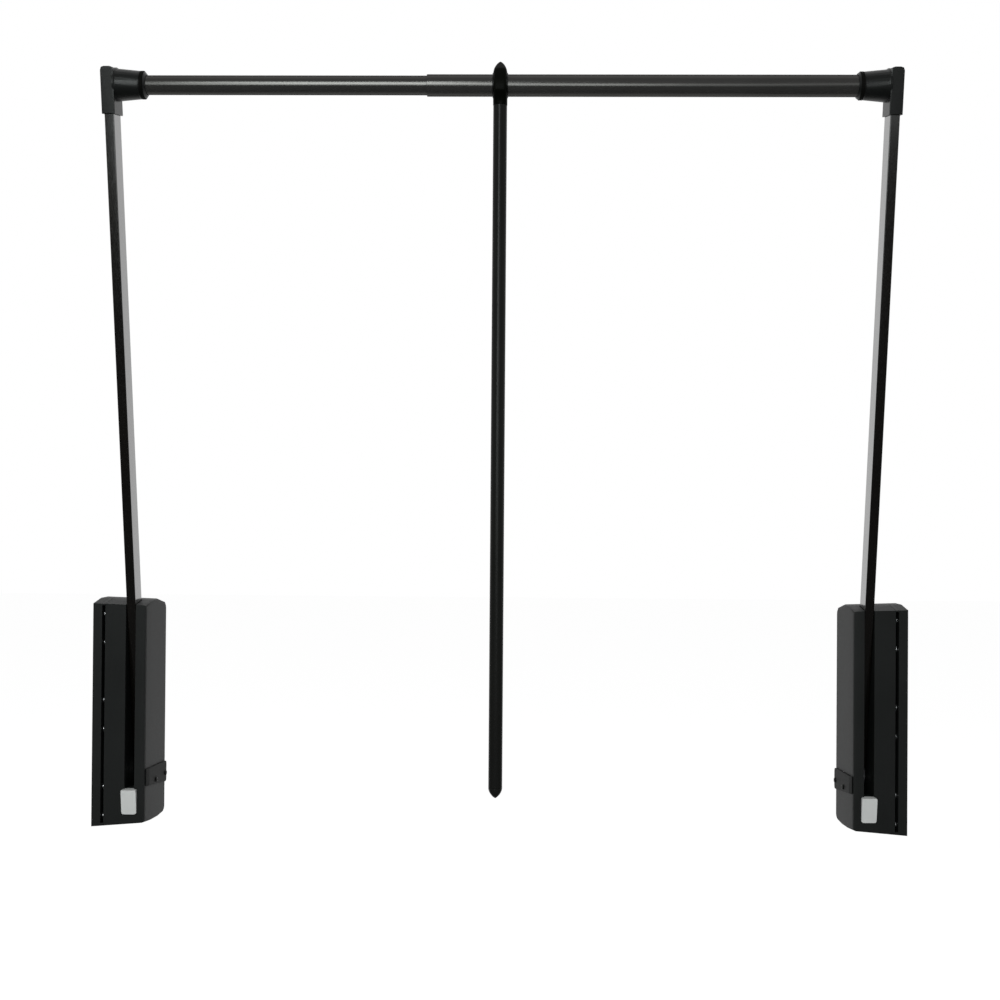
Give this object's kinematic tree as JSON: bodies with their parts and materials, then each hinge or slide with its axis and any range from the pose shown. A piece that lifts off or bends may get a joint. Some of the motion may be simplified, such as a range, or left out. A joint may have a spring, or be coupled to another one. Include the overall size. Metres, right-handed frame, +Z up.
{
  "type": "pull down closet rod",
  "caption": "Wardrobe lift: a telescopic hanging rod on two sprung arms that swing forward and down from side housings, with a hanging pull handle.",
  "frame": {"origin": "on the right wall face, on the swing axis of the arms", "axes": "+X to the right and out of the right housing into its wall, +Y to the back of the wardrobe, +Z up"},
  "size_m": [0.896, 0.2006, 0.8237],
  "materials": {
    "black_plastic": "fine-grained moulded",
    "black_metal": "semi-gloss black",
    "dark_tube": "glossy anthracite",
    "pale_buffer": "satin",
    "bright_steel": "bright plated",
    "bare_steel": "zinc plated",
    "spring_steel": "oiled",
    "dark_nylon": "satin",
    "black_rubber": "matte"
  },
  "bodies": {
    "right_housing": {"right_wall_tray": "black_plastic", "right_housing_shell": "black_plastic", "right_axle_plate": "black_plastic", "right_swing_axle": "bare_steel", "right_arm_buffer": "pale_buffer", "right_rest_pad": "black_rubber", "right_spring_seat": "bare_steel", "right_lift_spring": "spring_steel", "right_wall_screw_1": "bright_steel", "right_wall_screw_2": "bright_steel", "right_wall_screw_3": "bright_steel", "right_wall_screw_4": "bright_steel", "right_wall_screw_5": "bright_steel", "right_wall_screw_6": "bright_steel", "right_plate_screw_1": "black_metal", "right_plate_screw_2": "black_metal"},
    "right_frame": {"right_arm": "black_metal", "right_arm_hub": "bare_steel", "right_hub_bush": "dark_nylon", "right_crank_pin": "bare_steel", "right_elbow": "black_plastic", "right_elbow_screw": "black_metal", "thick_tube": "dark_tube"},
    "right_spring_rod": {"right_spring_rod": "bare_steel"},
    "left_housing": {"left_wall_tray": "black_plastic", "left_housing_shell": "black_plastic", "left_axle_plate": "black_plastic", "left_swing_axle": "bare_steel", "left_arm_buffer": "pale_buffer", "left_rest_pad": "black_rubber", "left_spring_seat": "bare_steel", "left_lift_spring": "spring_steel", "left_wall_screw_1": "bright_steel", "left_wall_screw_2": "bright_steel", "left_wall_screw_3": "bright_steel", "left_wall_screw_4": "bright_steel", "left_wall_screw_5": "bright_steel", "left_wall_screw_6": "bright_steel", "left_plate_screw_1": "black_metal", "left_plate_screw_2": "black_metal"},
    "left_frame": {"left_arm": "black_metal", "left_arm_hub": "bare_steel", "left_hub_bush": "dark_nylon", "left_crank_pin": "bare_steel", "left_elbow": "black_plastic", "left_elbow_screw": "black_metal", "thin_tube": "dark_tube"},
    "left_spring_rod": {"left_spring_rod": "bare_steel"},
    "handle_slider": {"handle_liner": "dark_nylon"},
    "handle": {"handle_head": "black_plastic", "handle_tube": "dark_tube", "handle_tip": "black_plastic"}
  },
  "joints": [
    {"name": "arm_swing", "type": "hinge", "parent": "right_housing", "child": "right_frame", "pos_m": [0, 0, 0], "axis": [1, 0, 0], "range_deg": [0, 79], "stiffness_Nm_per_rad": 12, "springref_deg": -77.35},
    {"name": "right_spring_lift", "type": "slide", "parent": "right_housing", "child": "right_spring_rod", "axis": [0, 0, 1], "range_m": [0, 0.0306], "deforming": ["right_lift_spring"]},
    {"name": "width_adjust", "type": "slide", "parent": "right_housing", "child": "left_housing", "axis": [-1, 0, 0], "range_m": [-0.066, 0.254]},
    {"name": "tube_telescope", "type": "slide", "parent": "right_frame", "child": "left_frame", "axis": [-1, 0, 0], "range_m": [-0.066, 0.254]},
    {"name": "left_spring_lift", "type": "slide", "parent": "left_housing", "child": "left_spring_rod", "axis": [0, 0, 1], "range_m": [0, 0.0306], "deforming": ["left_lift_spring"]},
    {"name": "handle_slide", "type": "slide", "parent": "right_frame", "child": "handle_slider", "axis": [1, 0, 0], "range_m": [-0.066, 0.358]},
    {"name": "handle_swing", "type": "hinge", "parent": "handle_slider", "child": "handle", "pos_m": [-0.448, -0.14311, 0.73622], "axis": [1, 0, 0], "continuous": true}
  ],
  "couplings": [
    {"joint": "right_spring_lift", "follows": "arm_swing", "m_per_rad": 0.022144},
    {"joint": "left_spring_lift", "follows": "arm_swing", "m_per_rad": 0.022144},
    {"joint": "tube_telescope", "follows": "width_adjust", "ratio": 1}
  ]
}
